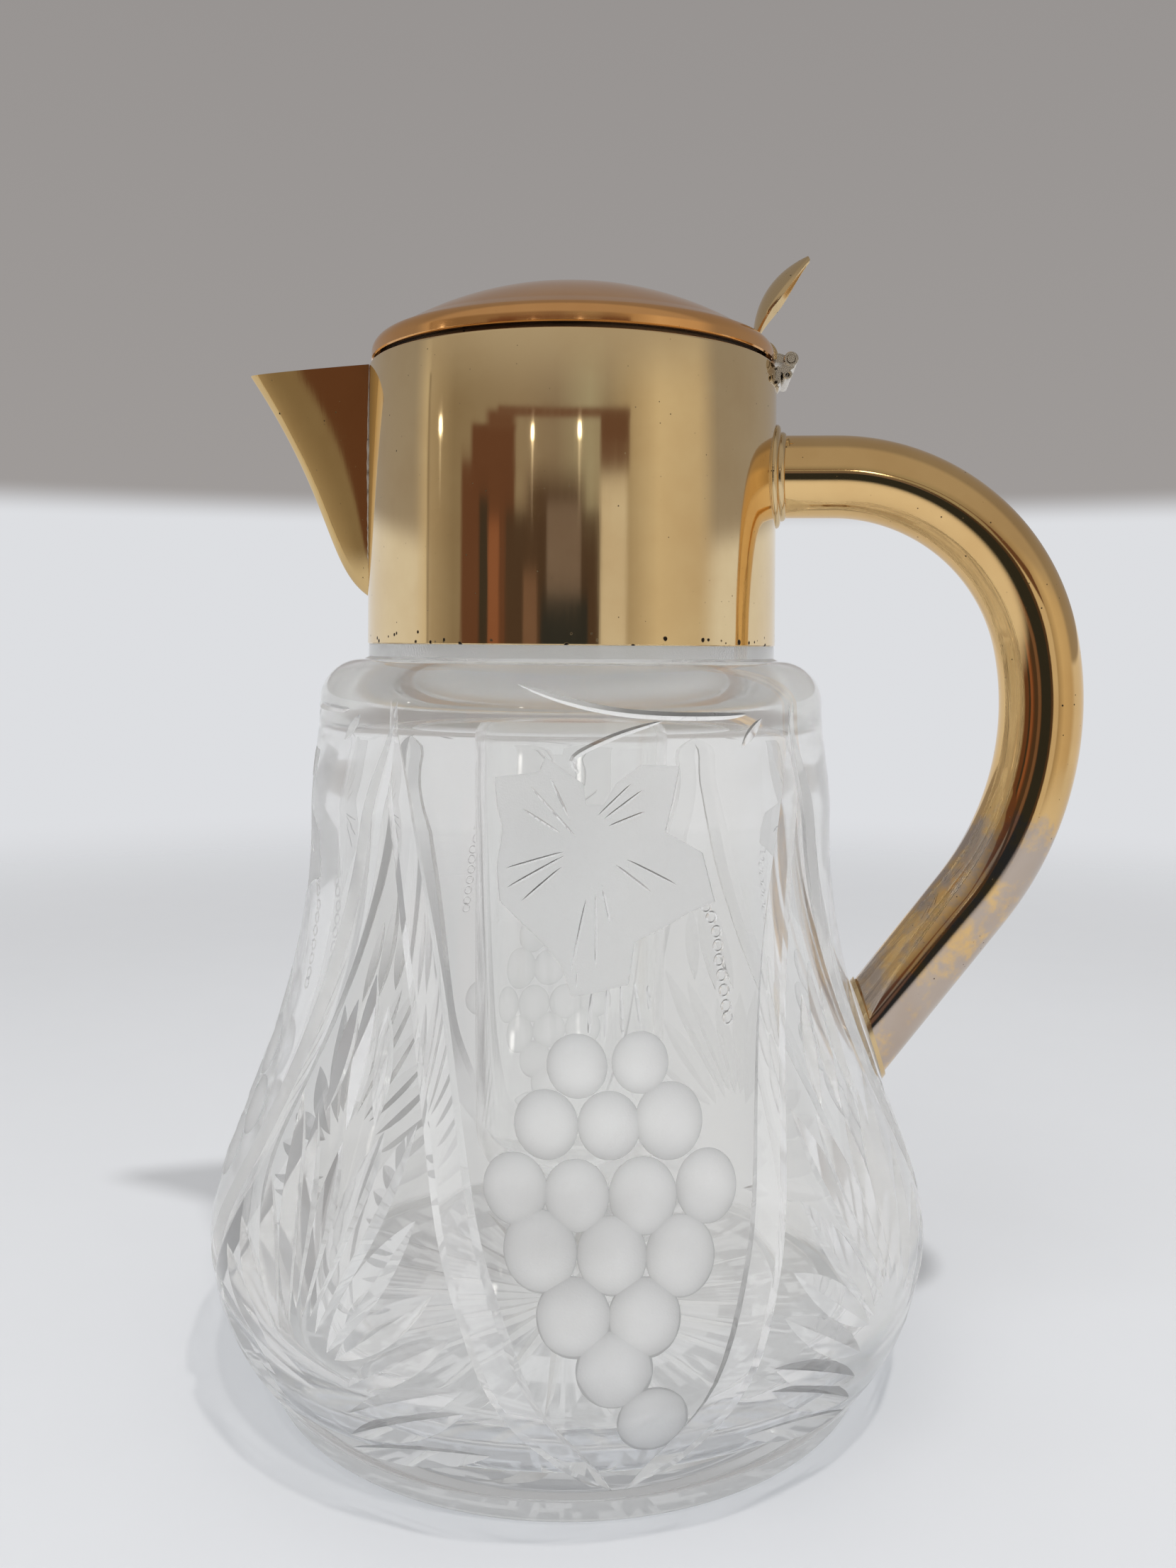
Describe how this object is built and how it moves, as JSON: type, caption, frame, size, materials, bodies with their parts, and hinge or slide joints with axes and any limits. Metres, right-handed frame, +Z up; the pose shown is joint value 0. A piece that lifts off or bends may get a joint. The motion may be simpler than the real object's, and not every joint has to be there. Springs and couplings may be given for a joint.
{
  "type": "claret jug",
  "caption": "Lidded jug with a wide cut-glass body, a gilt metal collar, V-shaped spout, round tube handle, hinged domed lid and a loose glass tube for ice.",
  "frame": {"origin": "centre of the flat foot, on the table's plane", "axes": "+Z up along the jug's axis, +X towards the handle, -X towards the spout; the lid's pin runs along Y"},
  "size_m": [0.2139, 0.179, 0.2725],
  "materials": {
    "cut_glass": "clear lead crystal, deep cut and polished, with frosted leaf and grapes",
    "tube_glass": "clear smooth glass",
    "gilt": "polished gold plate, worn to silver at the collar's lower edge",
    "gilt_lid": "polished gold plate, warmer and with fine scratches",
    "worn_gilt": "polished gold plate, worn through to silver in patches",
    "plated_silver": "polished silver plate, dark in the corners",
    "cement": "plaster cement, hidden"
  },
  "bodies": {
    "jug": {"glass_body": "cut_glass", "neck_cement": "cement", "collar": "gilt", "insert_seat": "gilt", "spout": "gilt", "handle": "worn_gilt", "handle_flange": "gilt", "handle_foot": "plated_silver", "collar_hinge_leaf": "plated_silver", "hinge_pin": "plated_silver"},
    "lid": {"lid": "gilt_lid", "lid_bezel": "gilt_lid", "lid_hinge_leaf": "plated_silver", "thumb_piece": "worn_gilt"},
    "ice": {"ice_tube": "tube_glass"}
  },
  "joints": [
    {"name": "lid_hinge", "type": "hinge", "parent": "jug", "child": "lid", "pos_m": [0.0519, 0, 0.247], "axis": [0, 1, 0], "range_deg": [0, 105]},
    {"name": "ice_tube_lift", "type": "slide", "parent": "jug", "child": "ice", "axis": [0, 0, 1], "range_m": [0, 0.01]}
  ]
}
